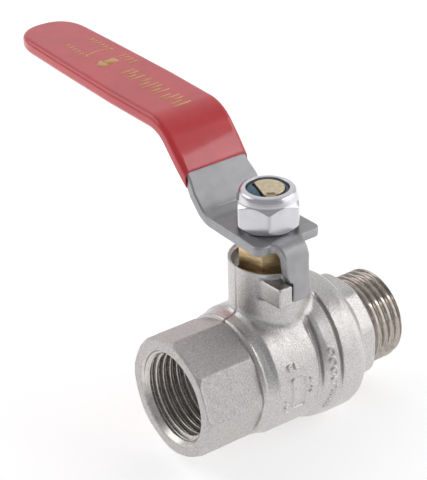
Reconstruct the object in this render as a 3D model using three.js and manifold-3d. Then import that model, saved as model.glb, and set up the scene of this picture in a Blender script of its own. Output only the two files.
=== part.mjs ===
// Lever-operated ball valve, G 1/2: female thread at one end, male thread at the other.
// Millimetres. Origin: centre of the ball. +X: pipe axis, towards the male end. +Z: stem, up.
// Modelled shut, with the lever across the pipe, pointing along +Y.
import * as THREE from "three";
import { mergeVertices } from "three/addons/utils/BufferGeometryUtils.js";
import Module from "manifold-3d";

const wasm = await Module();
wasm.setup();

const rad = THREE.MathUtils.degToRad;

// ---------- driving dimensions ----------
const CLEARANCE = 0.3;              // gap kept between neighbouring pieces
const ROUND = 40;                   // facets round a large turned shape
const SMALL_ROUND = 28;             // facets round a small turned shape

const THREAD_PITCH = 1.814;         // G 1/2
const THREAD_MAJOR_R = 10.48;
const THREAD_MINOR_R = 9.32;
const PASSAGE_R = 7.25;             // water way

const FEMALE_FACE_X = -26.86;
const MALE_FACE_X = 30.68;
const JOINT_X = -12.3;              // where the end connector meets the body
const OCTAGON_FLATS = 25.7;
const OCTAGON_TURN = rad(2);        // how far the octagon is screwed past corner-up
const REAR_FLATS = 24;
const BALL_R = 12;
const CHAMBER_R = 12.5;

const NECK_R = 8.74;
const NECK_TOP = 25.67;
const CUP_R = 7.8;
const CUP_FLOOR = 22.2;
const GLAND_BORE_R = 6.6;
const PACKING_FLOOR = 17.4;
const STEM_R = 4.3;
const STEM_BORE_R = 4.6;
const SHOULDER_R = 5.6;
const SHOULDER_POCKET_TOP = 15.2;
const STEM_TOP = 42;
const STEM_THREAD_R = 3.8;
const STEM_FLAT_X = -2.4;           // the D flat at the top of the stem

const PLATE_TOP = 33.2;             // lever head
const STEEL = 2.2;                  // lever thickness
const HEAD_FRONT_Y = -8.1;
const STRIP_WIDTH = 17;
const LEVER_LENGTH = 89;            // stem axis to the tip of the grip
const TONGUE_FACE_Y = -11.4;
const TONGUE_BOTTOM = 19.6;
const LUG_TOP = 24.3;
const LUG_BOTTOM = 19.5;
const SLEEVE_GAP = 0.2;
const SLEEVE_WALL = 0.45;
const SLEEVE_START_Y = 17.8;        // where the dipped coating ends on the rise
const GRIP_WIDTHS = [[SLEEVE_START_Y, 17.4], [32, 17.5], [46, 17.9], [58, 17.5], [70, 17], [80, 16.4]];

const NUT_FLATS = 13;
const NUT_LOW = PLATE_TOP + 0.05;
const NUT_SEAT = NUT_LOW + 0.6;     // top of the round seat below the hexagon
const NUT_TOP = 41.9;

const octagonCorner = (flats) => flats / 2 / Math.cos(Math.PI / 8);
const hexCorner = (flats) => flats / 2 / Math.cos(Math.PI / 6);

// ---------- solids ----------
function signedVolume(positions, indices) {
  const a = new THREE.Vector3();
  const b = new THREE.Vector3();
  const c = new THREE.Vector3();
  let sum = 0;
  for (let i = 0; i < indices.length; i += 3) {
    a.fromArray(positions, indices[i] * 3);
    b.fromArray(positions, indices[i + 1] * 3);
    c.fromArray(positions, indices[i + 2] * 3);
    sum += a.dot(b.cross(c));
  }
  return sum / 6;
}

function solid(geometry) {
  geometry.deleteAttribute("normal");
  geometry.deleteAttribute("uv");
  const merged = mergeVertices(geometry, 1e-4);
  const vertProperties = new Float32Array(merged.attributes.position.array);
  const triVerts = new Uint32Array(merged.index.array);
  if (signedVolume(vertProperties, triVerts) < 0) triVerts.reverse();
  const mesh = new wasm.Mesh({ numProp: 3, vertProperties, triVerts });
  return new wasm.Manifold(mesh);
}

function geometryOf(manifold) {
  const mesh = manifold.getMesh();
  const geometry = new THREE.BufferGeometry();
  geometry.setAttribute("position", new THREE.BufferAttribute(new Float32Array(mesh.vertProperties), 3));
  geometry.setIndex(new THREE.BufferAttribute(new Uint32Array(mesh.triVerts), 1));
  geometry.computeVertexNormals();
  return geometry;
}

// A shape turned about the stem axis from [radius, z] points that start and end on the axis.
function turnedZ(points, facets = SMALL_ROUND) {
  const outline = points.map(([r, z]) => new THREE.Vector2(r, z));
  return solid(new THREE.LatheGeometry(outline, facets).rotateX(Math.PI / 2));
}

// A shape turned about the pipe axis from [x, radius] points that start and end on the axis.
function turnedX(points, facets = ROUND) {
  const outline = points.map(([x, r]) => new THREE.Vector2(r, x));
  return solid(new THREE.LatheGeometry(outline, facets).rotateZ(-Math.PI / 2));
}

// A ring about the stem axis or the pipe axis, from closed corner lists.
const ringZ = (corners) => turnedZ([...corners, corners[0]]);
const ringX = (corners) => turnedX([...corners, corners[0]]);

function cylinderZ(radius, low, high) {
  return turnedZ([[0, low], [radius, low], [radius, high], [0, high]]);
}

function cylinderX(radius, low, high) {
  return turnedX([[low, 0], [low, radius], [high, radius], [high, 0]]);
}

function box(low, high) {
  const size = high.map((v, i) => v - low[i]);
  const geometry = new THREE.BoxGeometry(...size);
  return solid(geometry.translate(...high.map((v, i) => (v + low[i]) / 2)));
}

// A prism along X whose first corner points up, turned by an angle about X.
function prismX(cornerRadius, sides, low, high, turn = 0) {
  const geometry = new THREE.CylinderGeometry(cornerRadius, cornerRadius, high - low, sides, 1, false, turn);
  return solid(geometry.rotateZ(-Math.PI / 2).translate((low + high) / 2, 0, 0));
}

// A prism along Z whose first corner lies at an angle from +X.
function prismZ(cornerRadius, sides, low, high, cornerAngle) {
  const geometry = new THREE.CylinderGeometry(cornerRadius, cornerRadius, high - low, sides);
  geometry.rotateX(Math.PI / 2).rotateZ(cornerAngle + Math.PI / 2);
  return solid(geometry.translate(0, 0, (low + high) / 2));
}

// Crests and roots of a parallel thread as [x, radius] points.
function threadPoints(start, turns, firstR, secondR) {
  const points = [];
  for (let i = 0; i < turns; i += 1) {
    points.push([start + i * THREAD_PITCH, firstR]);
    points.push([start + (i + 0.5) * THREAD_PITCH, secondR]);
  }
  return points;
}

// ---------- body ----------
const MALE_THREAD_TURNS = 5;
const MALE_THREAD_X = MALE_FACE_X - 0.3 - MALE_THREAD_TURNS * THREAD_PITCH;
const SHOULDER_X = 16.4;
const SEAT_OUTER_R = 10.5;
const SEAT_POCKET_X = 11.1;

function bodyOutside() {
  const barrel = turnedX([
    [JOINT_X, 0], [JOINT_X, 13.4], [-11.7, 13.95], [-8.6, 14.75], [0.8, 14.85], [2.4, 15.5],
    [4.6, 15.95], [7.5, 16.25], [12.6, 16.25], [13.9, 15.9], [14.8, 15.2], [SHOULDER_X, 12.8],
    [SHOULDER_X + 1, 11.6], [SHOULDER_X + 1, 0],
  ]);
  const rearX = 20.6;
  const collar = prismX(octagonCorner(REAR_FLATS), 8, SHOULDER_X - 2, rearX, Math.PI / 8);
  const collarEnd = turnedX([
    [SHOULDER_X - 3, 0], [SHOULDER_X - 3, 14], [rearX - 0.8, 13.2], [rearX, 12], [rearX, 0],
  ]);
  const thread = turnedX([
    [SHOULDER_X, 0], [SHOULDER_X, 9.8], [rearX + 0.1, 9.8],
    ...threadPoints(MALE_THREAD_X, MALE_THREAD_TURNS, THREAD_MINOR_R + 0.25, THREAD_MAJOR_R),
    [MALE_FACE_X, 9.45], [MALE_FACE_X, 0],
  ]);
  return barrel.add(collar.intersect(collarEnd)).add(thread);
}

function valveBody() {
  const neckPoints = [[0, 5], [NECK_R, 5], [NECK_R, NECK_TOP - 0.3], [NECK_R - 0.3, NECK_TOP], [0, NECK_TOP]];
  const neck = turnedZ(neckPoints, ROUND);
  const shutStop = box([-6.8, -12, LUG_BOTTOM], [-3.2, -3, LUG_TOP]);
  const openStop = box([3, 2.8, LUG_BOTTOM], [12, 6.4, LUG_TOP]);
  const outside = bodyOutside().add(neck).add(shutStop).add(openStop);
  const chamber = cylinderX(CHAMBER_R, JOINT_X - 1, 6.8);
  const seatPocket = cylinderX(SEAT_OUTER_R + CLEARANCE, 6, SEAT_POCKET_X);
  const passage = cylinderX(PASSAGE_R + 0.25, 10, MALE_FACE_X + 1);
  const neckBore = turnedZ([
    [0, 8], [SHOULDER_R + CLEARANCE, 8], [SHOULDER_R + CLEARANCE, SHOULDER_POCKET_TOP],
    [STEM_BORE_R, SHOULDER_POCKET_TOP], [STEM_BORE_R, PACKING_FLOOR], [GLAND_BORE_R, PACKING_FLOOR],
    [GLAND_BORE_R, CUP_FLOOR], [CUP_R, CUP_FLOOR], [CUP_R, NECK_TOP + 1], [0, NECK_TOP + 1],
  ], ROUND);
  return outside.subtract(chamber).subtract(seatPocket).subtract(passage).subtract(neckBore);
}

// ---------- end connector ----------
const SPIGOT_R = 12.2;
const SPIGOT_X = -6.2;
const FEMALE_THREAD_TURNS = 6;
const FEMALE_BORE_X = -14.4;
const NUT_FACE_R = 13.2;            // both ends of the octagon are turned down to this radius
const NUT_CHAMFER = 1.1;

function endConnector() {
  const corner = octagonCorner(OCTAGON_FLATS);
  const rearX = JOINT_X - CLEARANCE;
  const nut = prismX(corner, 8, FEMALE_FACE_X, rearX, OCTAGON_TURN);
  const nutEnds = turnedX([
    [FEMALE_FACE_X, 0], [FEMALE_FACE_X, NUT_FACE_R], [FEMALE_FACE_X + NUT_CHAMFER, corner + 0.1],
    [rearX - NUT_CHAMFER, corner + 0.1], [rearX, NUT_FACE_R], [rearX, 0],
  ]);
  const spigot = cylinderX(SPIGOT_R, JOINT_X - 1, SPIGOT_X);
  const socket = turnedX([
    [FEMALE_FACE_X - 1, 0], [FEMALE_FACE_X - 1, 11.4], [FEMALE_FACE_X + 0.9, 10.2],
    ...threadPoints(FEMALE_FACE_X + 1.2, FEMALE_THREAD_TURNS, THREAD_MINOR_R, THREAD_MAJOR_R),
    [FEMALE_BORE_X, THREAD_MINOR_R], [FEMALE_BORE_X, 0],
  ]);
  const passage = cylinderX(PASSAGE_R + 0.25, FEMALE_BORE_X - 1, SPIGOT_X + 1);
  const seatPocket = cylinderX(SEAT_OUTER_R + CLEARANCE, -SEAT_POCKET_X, SPIGOT_X + 1);
  return nut.intersect(nutEnds).add(spigot).subtract(socket).subtract(passage).subtract(seatPocket);
}

function jointSeal() {
  const low = JOINT_X + 0.9;
  return ringX([[low, 12.28], [low, 12.42], [low + 1, 12.42], [low + 1, 12.28]]);
}

// ---------- ball and seats ----------
const SLOT_FLOOR = 8.7;
const TANG_THICKNESS = 3.6;

function ball() {
  const sphere = solid(new THREE.SphereGeometry(BALL_R, 32, 22).rotateX(Math.PI / 2));
  const boreGeometry = new THREE.CylinderGeometry(PASSAGE_R, PASSAGE_R, 2 * BALL_R + 2, 32);
  const bore = solid(boreGeometry);
  const slotHalf = TANG_THICKNESS / 2 + CLEARANCE;
  const slot = box([-BALL_R - 1, -slotHalf, SLOT_FLOOR], [BALL_R + 1, slotHalf, BALL_R + 1]);
  return sphere.subtract(bore).subtract(slot);
}

// side is +1 for the ring on the male side and -1 for the one in the end connector.
function seatRing(side) {
  const faceR = BALL_R + CLEARANCE;
  const innerR = PASSAGE_R + 0.35;
  const backX = SEAT_POCKET_X - CLEARANCE;
  const lipR = 10.1;
  const face = [];
  for (let i = 0; i <= 4; i += 1) {
    const r = THREE.MathUtils.lerp(innerR, lipR, i / 4);
    face.push([side * Math.sqrt(faceR * faceR - r * r), r]);
  }
  const shoulderX = face[4][0] + side * 0.2;
  return ringX([...face, [shoulderX, SEAT_OUTER_R], [side * backX, SEAT_OUTER_R], [side * backX, innerR]]);
}

// ---------- stem and its seals ----------
const SHOULDER_LOW = 12.4;
const SHOULDER_HIGH = 14.1;
const GROOVE_LOW = 15.7;
const GROOVE_HIGH = 17;
const GROOVE_R = 3.3;
const UPPER_PACKING_TOP = 19.8;

function stem() {
  const shaft = turnedZ([
    [0, SHOULDER_LOW], [SHOULDER_R, SHOULDER_LOW], [SHOULDER_R, SHOULDER_HIGH], [STEM_R, SHOULDER_HIGH],
    [STEM_R, GROOVE_LOW], [GROOVE_R, GROOVE_LOW], [GROOVE_R, GROOVE_HIGH], [STEM_R, GROOVE_HIGH],
    [STEM_R, 30], [STEM_THREAD_R, 30.4], [STEM_THREAD_R, STEM_TOP - 0.4], [STEM_THREAD_R - 0.4, STEM_TOP],
    [0, STEM_TOP],
  ]);
  const tangHalf = TANG_THICKNESS / 2;
  const tang = box([-4, -tangHalf, SLOT_FLOOR + CLEARANCE], [4, tangHalf, SHOULDER_LOW + 0.5]);
  const flat = box([-6, -6, 30.6], [STEM_FLAT_X, 6, STEM_TOP + 1]);
  return shaft.add(tang).subtract(flat);
}

function stemRing(innerR, outerR, low, high) {
  return ringZ([[innerR, low], [outerR, low], [outerR, high], [innerR, high]]);
}

function stemORing() {
  const middle = (GROOVE_LOW + GROOVE_HIGH) / 2;
  const centreR = 3.95;
  const section = 0.4;
  const corners = [];
  for (let i = 0; i < 8; i += 1) {
    const angle = (i + 0.5) * Math.PI / 4;
    corners.push([centreR + section * Math.cos(angle), middle + section * Math.sin(angle)]);
  }
  return ringZ(corners);
}

function glandNut() {
  const hexLow = CUP_FLOOR + CLEARANCE;
  const top = 30.5;
  const skirt = cylinderZ(GLAND_BORE_R - CLEARANCE, UPPER_PACKING_TOP + CLEARANCE, hexLow + 0.5);
  const hex = prismZ(hexCorner(11.4), 6, hexLow, top, rad(39.2));
  return skirt.add(hex).subtract(cylinderZ(STEM_R + CLEARANCE, 10, top + 1));
}

// ---------- lever ----------
const RISE_ANGLE = rad(46.5);
const GRIP_ANGLE = rad(1.2);
const LOWER_BEND_Y = 8.9;           // where the plate starts to bend up
const LOWER_BEND_R = 6;             // bend radii of the middle of the sheet
const UPPER_BEND_R = 9;
const RISE_LENGTH = 16.3;           // straight part of the rise
const TONGUE_BEND_R = 2.3;

// Middle line of the bent sheet as [y, z] points, from the head to the tip, each with its direction.
function leverPath() {
  const z0 = PLATE_TOP - STEEL / 2;
  const path = [[HEAD_FRONT_Y, z0, 0], [LOWER_BEND_Y, z0, 0]];
  const centre = [LOWER_BEND_Y, z0 + LOWER_BEND_R];
  for (let i = 1; i <= 4; i += 1) {
    const a = RISE_ANGLE * i / 4;
    path.push([centre[0] + LOWER_BEND_R * Math.sin(a), centre[1] - LOWER_BEND_R * Math.cos(a), a]);
  }
  const [y1, z1] = path[path.length - 1];
  const y2 = y1 + RISE_LENGTH * Math.cos(RISE_ANGLE);
  const z2 = z1 + RISE_LENGTH * Math.sin(RISE_ANGLE);
  const top = [y2 + UPPER_BEND_R * Math.sin(RISE_ANGLE), z2 - UPPER_BEND_R * Math.cos(RISE_ANGLE)];
  for (let i = 0; i <= 6; i += 1) {
    const a = THREE.MathUtils.lerp(RISE_ANGLE, GRIP_ANGLE, i / 6);
    path.push([top[0] - UPPER_BEND_R * Math.sin(a), top[1] + UPPER_BEND_R * Math.cos(a), a]);
  }
  const [y3, z3] = path[path.length - 1];
  path.push([LEVER_LENGTH, z3 + (LEVER_LENGTH - y3) * Math.tan(GRIP_ANGLE), GRIP_ANGLE]);
  return path;
}

// A sheet of a given thickness about the path, extruded across the lever.
function bentSheet(path, half, width) {
  const shape = new THREE.Shape();
  const point = (s, y, z, a) => new THREE.Vector2(y - s * half * Math.sin(a), z + s * half * Math.cos(a));
  const side = (s) => path.map(([y, z, a]) => point(s, y, z, a));
  shape.setFromPoints([...side(1), ...side(-1).reverse()]);
  const geometry = new THREE.ExtrudeGeometry(shape, { depth: width, bevelEnabled: false });
  geometry.rotateY(Math.PI / 2).rotateX(Math.PI / 2);
  return solid(geometry.translate(-width / 2, 0, 0));
}

// An outline seen from above, extruded from low to high.
function slab(shape, low, high) {
  const settings = { depth: high - low, bevelEnabled: false, curveSegments: 6 };
  const geometry = new THREE.ExtrudeGeometry(shape, settings);
  return solid(geometry.translate(0, 0, low));
}

// Traces the grip from its +X side round the tip to its -X side, inset all round.
function traceGrip(shape, inset) {
  const halves = GRIP_WIDTHS.map(([y, width]) => [width / 2 - inset, y]);
  const [tipHalf, tipSideY] = halves[halves.length - 1];
  const tip = LEVER_LENGTH - inset;
  for (const [x, y] of halves) shape.lineTo(x, y);
  const cornerY = tip - 2.6;
  shape.bezierCurveTo(tipHalf - 0.2, cornerY, tipHalf * 0.6, tip, 0, tip);
  shape.bezierCurveTo(-tipHalf * 0.6, tip, 0.2 - tipHalf, cornerY, -tipHalf, tipSideY);
  for (const [x, y] of halves.reverse()) shape.lineTo(-x, y);
}

function leverOutline() {
  const half = STRIP_WIDTH / 2;
  const shape = new THREE.Shape();
  shape.moveTo(half, 15.6);
  traceGrip(shape, SLEEVE_WALL + SLEEVE_GAP);
  shape.lineTo(-half, 15.6);
  shape.lineTo(-half, 10);
  shape.lineTo(-half - 0.2, 0);
  shape.lineTo(-half - 0.5, -5.2);
  shape.quadraticCurveTo(-half - 0.8, HEAD_FRONT_Y, -half + 1.5, HEAD_FRONT_Y);
  shape.lineTo(half - 2.4, HEAD_FRONT_Y);
  shape.quadraticCurveTo(half - 0.6, HEAD_FRONT_Y, half - 0.6, HEAD_FRONT_Y + 1.9);
  shape.lineTo(half - 0.7, -1);
  shape.lineTo(half, 10);
  return shape;
}

function leverHoleShape() {
  const r = STEM_THREAD_R + CLEARANCE;
  const flatX = STEM_FLAT_X - CLEARANCE;
  const flatAngle = Math.acos(flatX / r);
  const shape = new THREE.Shape();
  shape.absarc(0, 0, r, -flatAngle, flatAngle, false);
  return shape;
}

function tongue() {
  const z0 = PLATE_TOP - STEEL / 2;
  const bendY = TONGUE_FACE_Y + STEEL / 2 + TONGUE_BEND_R;
  const path = [[TONGUE_FACE_Y + STEEL / 2, TONGUE_BOTTOM, Math.PI / 2]];
  for (let i = 0; i <= 4; i += 1) {
    const a = Math.PI / 2 * (1 - i / 4);
    path.push([bendY - TONGUE_BEND_R * Math.sin(a), z0 - TONGUE_BEND_R + TONGUE_BEND_R * Math.cos(a), a]);
  }
  path.push([-6.5, z0, 0]);
  const wide = bentSheet(path, STEEL / 2, 30);
  const left = -4.3;
  const stopFaceX = -2.3;
  const right = 1.9;
  const span = box([left, -20, 15], [right, -6.8, PLATE_TOP + 5]);
  const notch = box([left - 1, -20, 15], [stopFaceX, -5, LUG_TOP + 0.4]);
  return wide.intersect(span).subtract(notch);
}

function lever() {
  const sheet = bentSheet(leverPath(), STEEL / 2, 30);
  const blank = slab(leverOutline(), 20, 60);
  const hole = slab(leverHoleShape(), 20, 40);
  return sheet.intersect(blank).add(tongue()).subtract(hole);
}

// ---------- grip sleeve ----------
function gripLayer(inset, halfThickness) {
  const outline = new THREE.Shape();
  outline.moveTo(GRIP_WIDTHS[0][1] / 2 - inset, SLEEVE_START_Y - 5);
  traceGrip(outline, inset);
  outline.lineTo(inset - GRIP_WIDTHS[0][1] / 2, SLEEVE_START_Y - 5);
  return bentSheet(leverPath(), halfThickness, 40).intersect(slab(outline, 20, 70));
}

function gripSleeve() {
  const skin = gripLayer(0, STEEL / 2 + SLEEVE_GAP + SLEEVE_WALL);
  const hollow = gripLayer(SLEEVE_WALL, STEEL / 2 + SLEEVE_GAP);
  return skin.subtract(hollow).subtract(box([-30, -30, 10], [30, SLEEVE_START_Y, 80]));
}

// ---------- lock nut ----------
function lockNut() {
  const corner = hexCorner(NUT_FLATS);
  const hex = prismZ(corner, 6, NUT_LOW, NUT_TOP, rad(54.2));
  const ends = turnedZ([
    [0, NUT_LOW], [6.15, NUT_LOW], [6.15, NUT_SEAT], [6.55, NUT_SEAT], [corner + 0.1, NUT_SEAT + 0.6],
    [corner + 0.1, 38.46],
    [6.5, 39.46], [6.37, 40.2], [6.1, 41.2], [5.8, 41.6], [5.35, NUT_TOP], [0, NUT_TOP],
  ]);
  const bore = turnedZ([
    [0, 30], [STEM_THREAD_R + CLEARANCE, 30], [STEM_THREAD_R + CLEARANCE, 38.6], [5.4, 38.6], [5.4, 40.9],
    [4.65, 40.9], [4.65, 43], [0, 43],
  ]);
  return hex.intersect(ends).subtract(bore);
}

// ---------- the assembly ----------
const NICKEL = { color: 0xc8c3c3, roughness: 0.45, metalness: 1 };
const STEEL_PLATE = { color: 0x96969b, roughness: 0.35, metalness: 1 };
const ZINC = { color: 0xc8c5d0, roughness: 0.25, metalness: 1 };
const BRASS = { color: 0xa98a4e, roughness: 0.35, metalness: 1 };
const CHROME = { color: 0xdedede, roughness: 0.08, metalness: 1 };
const PTFE = { color: 0xf2f1ec, roughness: 0.5, metalness: 0 };
const RUBBER = { color: 0x1a1a1a, roughness: 0.7, metalness: 0 };
const NYLON = { color: 0x23405a, roughness: 0.5, metalness: 0 };
const VINYL = { color: 0xb9525c, roughness: 0.4, metalness: 0 };

const SEAL_R = STEM_R + CLEARANCE;
const PIECES = [
  ["valve_body", valveBody(), NICKEL],
  ["end_connector", endConnector(), NICKEL],
  ["joint_seal", jointSeal(), PTFE],
  ["ball", ball(), CHROME],
  ["seat_ring_inlet", seatRing(-1), PTFE],
  ["seat_ring_outlet", seatRing(1), PTFE],
  ["stem", stem(), BRASS],
  ["thrust_washer", stemRing(SEAL_R, SHOULDER_R, SHOULDER_HIGH + 0.25, SHOULDER_POCKET_TOP - 0.25), PTFE],
  ["stem_o_ring", stemORing(), RUBBER],
  ["packing_ring_lower", stemRing(SEAL_R, 6.3, 17.7, 18.6), PTFE],
  ["packing_ring_upper", stemRing(SEAL_R, 6.3, 18.9, UPPER_PACKING_TOP), PTFE],
  ["gland_nut", glandNut(), BRASS],
  ["lever", lever(), STEEL_PLATE],
  ["grip_sleeve", gripSleeve(), VINYL],
  ["lock_nut", lockNut(), ZINC],
  ["lock_nut_insert", stemRing(STEM_THREAD_R + 0.2, 5.2, 38.9, 40.7), NYLON],
];

const valve = new THREE.Group();
for (const [name, shape, finish] of PIECES) {
  const mesh = new THREE.Mesh(geometryOf(shape), new THREE.MeshStandardMaterial(finish));
  mesh.name = name;
  valve.add(mesh);
}

export default valve;
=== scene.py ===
"""Ball valve with a lever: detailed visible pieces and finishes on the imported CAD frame.

Shapes are worked out in millimetres and stored in metres. +X is the pipe axis, +Z the stem, +Y the lever.
An angle about the pipe, called around, is in degrees from level towards +Z, the same in front and behind.
"""
import math

import bpy
import numpy as np
from mathutils import Matrix, Vector


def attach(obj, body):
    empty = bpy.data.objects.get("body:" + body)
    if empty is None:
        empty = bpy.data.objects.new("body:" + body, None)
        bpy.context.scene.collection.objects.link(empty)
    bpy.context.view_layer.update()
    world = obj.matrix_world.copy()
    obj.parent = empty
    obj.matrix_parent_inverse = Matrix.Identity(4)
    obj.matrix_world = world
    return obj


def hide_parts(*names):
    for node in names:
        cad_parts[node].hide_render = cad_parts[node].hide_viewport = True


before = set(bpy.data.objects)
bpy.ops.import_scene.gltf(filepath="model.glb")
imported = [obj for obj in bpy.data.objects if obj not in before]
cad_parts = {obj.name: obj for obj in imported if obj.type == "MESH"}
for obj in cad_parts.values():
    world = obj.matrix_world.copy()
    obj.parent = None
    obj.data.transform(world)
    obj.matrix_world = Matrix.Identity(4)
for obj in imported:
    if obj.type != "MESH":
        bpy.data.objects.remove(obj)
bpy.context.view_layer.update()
MM = 0.001
COARSE = 1.0


# ---------- distance functions and meshing ----------
def smooth_min(a, b, k):
    """The smaller of two distances, blended where they differ by less than k."""
    h = np.clip(0.5 + 0.5 * (b - a) / k, 0, 1)
    return b + (a - b) * h - k * h * (1 - h)


def smooth_max(a, b, k):
    return -smooth_min(-a, -b, k)


def step_up(low, high, value):
    """0 below low, 1 above high, smooth between. low may be the larger."""
    t = np.clip((value - low) / (high - low), 0, 1)
    return t * t * (3 - 2 * t)


def rounded_box(x, y, z, low, high, radius):
    """Distance to a box between two corners, its edges rounded."""
    q = [np.abs(v - (a + b) / 2) - (b - a) / 2 + radius for v, a, b in zip((x, y, z), low, high)]
    outside = np.sqrt(sum(np.maximum(v, 0) ** 2 for v in q))
    return outside + np.minimum(np.maximum(np.maximum(q[0], q[1]), q[2]), 0) - radius


def prism(u, v, sides, apothem, corner_angle, k):
    """A regular prism's section, one corner at corner_angle degrees from +u, its edges rounded over k."""
    sector = 2 * math.pi / sides
    r = np.hypot(u, v)
    turn = np.arctan2(v, u) - math.radians(corner_angle) + sector / 2
    c = np.mod(turn, sector) - sector / 2
    return smooth_max(r * np.cos(c - sector / 2), r * np.cos(c + sector / 2), k) - apothem


def polygon(x, y, points):
    """Signed distance to a closed polygon."""
    x, y = np.broadcast_arrays(x, y)
    best = np.full(x.shape, 1e9)
    sign = np.ones(x.shape)
    for (ax, ay), (bx, by) in zip(points, np.roll(points, -1, axis=0)):
        ex, ey = bx - ax, by - ay
        wx, wy = x - ax, y - ay
        t = np.clip((wx * ex + wy * ey) / (ex * ex + ey * ey), 0, 1)
        best = np.minimum(best, (wx - ex * t) ** 2 + (wy - ey * t) ** 2)
        side = ex * wy > ey * wx
        above, below = y >= ay, y < by
        flip = (above & below & side) | (~above & ~below & ~side)
        sign = np.where(flip, -sign, sign)
    return sign * np.sqrt(best)


def cut_corners(corners, steps=5):
    """A polygon whose corners (x, y, radius) are rounded."""
    points = []
    count = len(corners)
    for i, (x, y, radius) in enumerate(corners):
        here = np.array((x, y), float)
        if radius == 0:
            points.append(here)
            continue
        before = np.array(corners[i - 1][:2], float) - here
        after = np.array(corners[(i + 1) % count][:2], float) - here
        la, lb = np.linalg.norm(before), np.linalg.norm(after)
        reach = min(radius, la * 0.95, lb * 0.95)
        a, b = here + before / la * reach, here + after / lb * reach
        for t in np.linspace(0, 1, steps):
            points.append(a * (1 - t) ** 2 + here * 2 * t * (1 - t) + b * t * t)
    return np.array(points)


BLOCK = 8           # cells along each side of a block of the grid
NEAR = 1.15         # a block further from the surface than this many of its sides is not worked out in full
CHUNK = 1500        # blocks worked out at a time
PASSES = 3          # moves of every vertex onto the surface
SLOPE_STEP = 0.02   # mm over which a distance's slope is taken
SLOPE_LEAST = 0.2   # keeps a move finite where the slope vanishes


def sample_grid(distance, low, high, step):
    """The distance on a grid, worked out in full only near the surface."""
    blocks = [int(math.ceil((b - a) / step / BLOCK)) + 1 for a, b in zip(low, high)]
    centres = [a + (np.arange(n) + 0.5) * BLOCK * step for a, n in zip(low, blocks)]
    mids = np.meshgrid(*centres, indexing="ij")
    coarse = distance(*mids)
    near = np.argwhere(np.abs(coarse) < BLOCK * step * NEAR)
    grid = coarse
    for axis in range(3):
        grid = np.repeat(grid, BLOCK, axis=axis)
    grid = grid.astype(np.float32)
    local = np.stack(np.meshgrid(*[np.arange(BLOCK)] * 3, indexing="ij"), -1).reshape(-1, 3)
    for chunk in np.array_split(near, max(1, len(near) // CHUNK)):
        index = (chunk[:, None, :] * BLOCK + local[None]).reshape(-1, 3)
        place = np.array(low) + (index + 0.5) * step
        grid[tuple(index.T)] = distance(*place.T)
    return grid, np.array(low) + 0.5 * step


def surface_mesh(distance, low, high, step):
    """Vertices and quads of the closed surface where the distance is zero."""
    step *= COARSE
    low = [v - 2.5 * step for v in low]
    high = [v + 2.5 * step for v in high]
    d, origin = sample_grid(distance, low, high, step)
    inside = d < 0
    size = [n - 1 for n in d.shape]
    count = np.zeros(size, np.uint8)
    for i, j, k in np.ndindex(2, 2, 2):
        count += inside[i:size[0] + i, j:size[1] + j, k:size[2] + k]
    active = (count > 0) & (count < 8)
    cells = np.argwhere(active)
    ids = np.full(size, -1, np.int64)
    ids[active] = np.arange(len(cells))
    total = np.zeros((len(cells), 3))
    crossings = np.zeros(len(cells))
    for axis in range(3):
        unit = np.eye(3, dtype=int)[axis]
        others = [np.eye(3, dtype=int)[v] for v in range(3) if v != axis]
        for i, j in np.ndindex(2, 2):
            start = cells + others[0] * i + others[1] * j
            d0 = d[tuple(start.T)]
            d1 = d[tuple((start + unit).T)]
            hit = (d0 < 0) != (d1 < 0)
            t = d0[hit] / (d0[hit] - d1[hit])
            total[hit] += start[hit] + t[:, None] * unit
            crossings[hit] += 1
    points = origin + step * total / crossings[:, None]
    quads = []
    for axis in range(3):
        unit = np.eye(3, dtype=int)[axis]
        e1, e2 = np.eye(3, dtype=int)[(axis + 1) % 3], np.eye(3, dtype=int)[(axis + 2) % 3]
        ends = [slice(1, size[v]) for v in range(3)]
        first = inside[tuple(slice(s.start, s.stop) for s in ends)]
        moved = inside[tuple(slice(s.start + unit[v], s.stop + unit[v]) for v, s in enumerate(ends))]
        edges = np.argwhere(first != moved) + 1
        out = first[tuple((edges - 1).T)]
        ring = [ids[tuple(edges.T)], ids[tuple((edges - e1).T)], ids[tuple((edges - e1 - e2).T)],
                ids[tuple((edges - e2).T)]]
        quad = np.stack(ring, 1)
        quads.append(np.where(out[:, None], quad, quad[:, ::-1]))
    for _ in range(PASSES):
        value = distance(*points.T)
        ahead = [distance(*(points + SLOPE_STEP * unit).T) for unit in np.eye(3)]
        slope = np.stack([v - value for v in ahead], 1) / SLOPE_STEP
        move = -(value / np.maximum((slope ** 2).sum(1), SLOPE_LEAST))[:, None] * slope
        length = np.linalg.norm(move, axis=1, keepdims=True)
        points = points + move * np.minimum(1, 0.5 * step / np.maximum(length, 1e-9))
    return points, np.concatenate(quads)


def mesh_object(name, points, quads, body, slot, material, *nodes):
    """A piece from millimetre points and quads, riding on a body and standing for CAD nodes."""
    mesh = bpy.data.meshes.new(name)
    mesh.vertices.add(len(points))
    mesh.vertices.foreach_set("co", (np.asarray(points, float) * MM).ravel())
    mesh.loops.add(quads.size)
    mesh.loops.foreach_set("vertex_index", np.asarray(quads).ravel())
    mesh.polygons.add(len(quads))
    mesh.polygons.foreach_set("loop_start", np.arange(0, quads.size, 4))
    mesh.polygons.foreach_set("use_smooth", np.ones(len(quads), bool))
    mesh.update(calc_edges=True)
    mesh.validate()
    obj = bpy.data.objects.new(name, mesh)
    bpy.context.scene.collection.objects.link(obj)
    mesh.materials.append(material)
    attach(obj, body)
    if nodes:
        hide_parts(*nodes)


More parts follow.
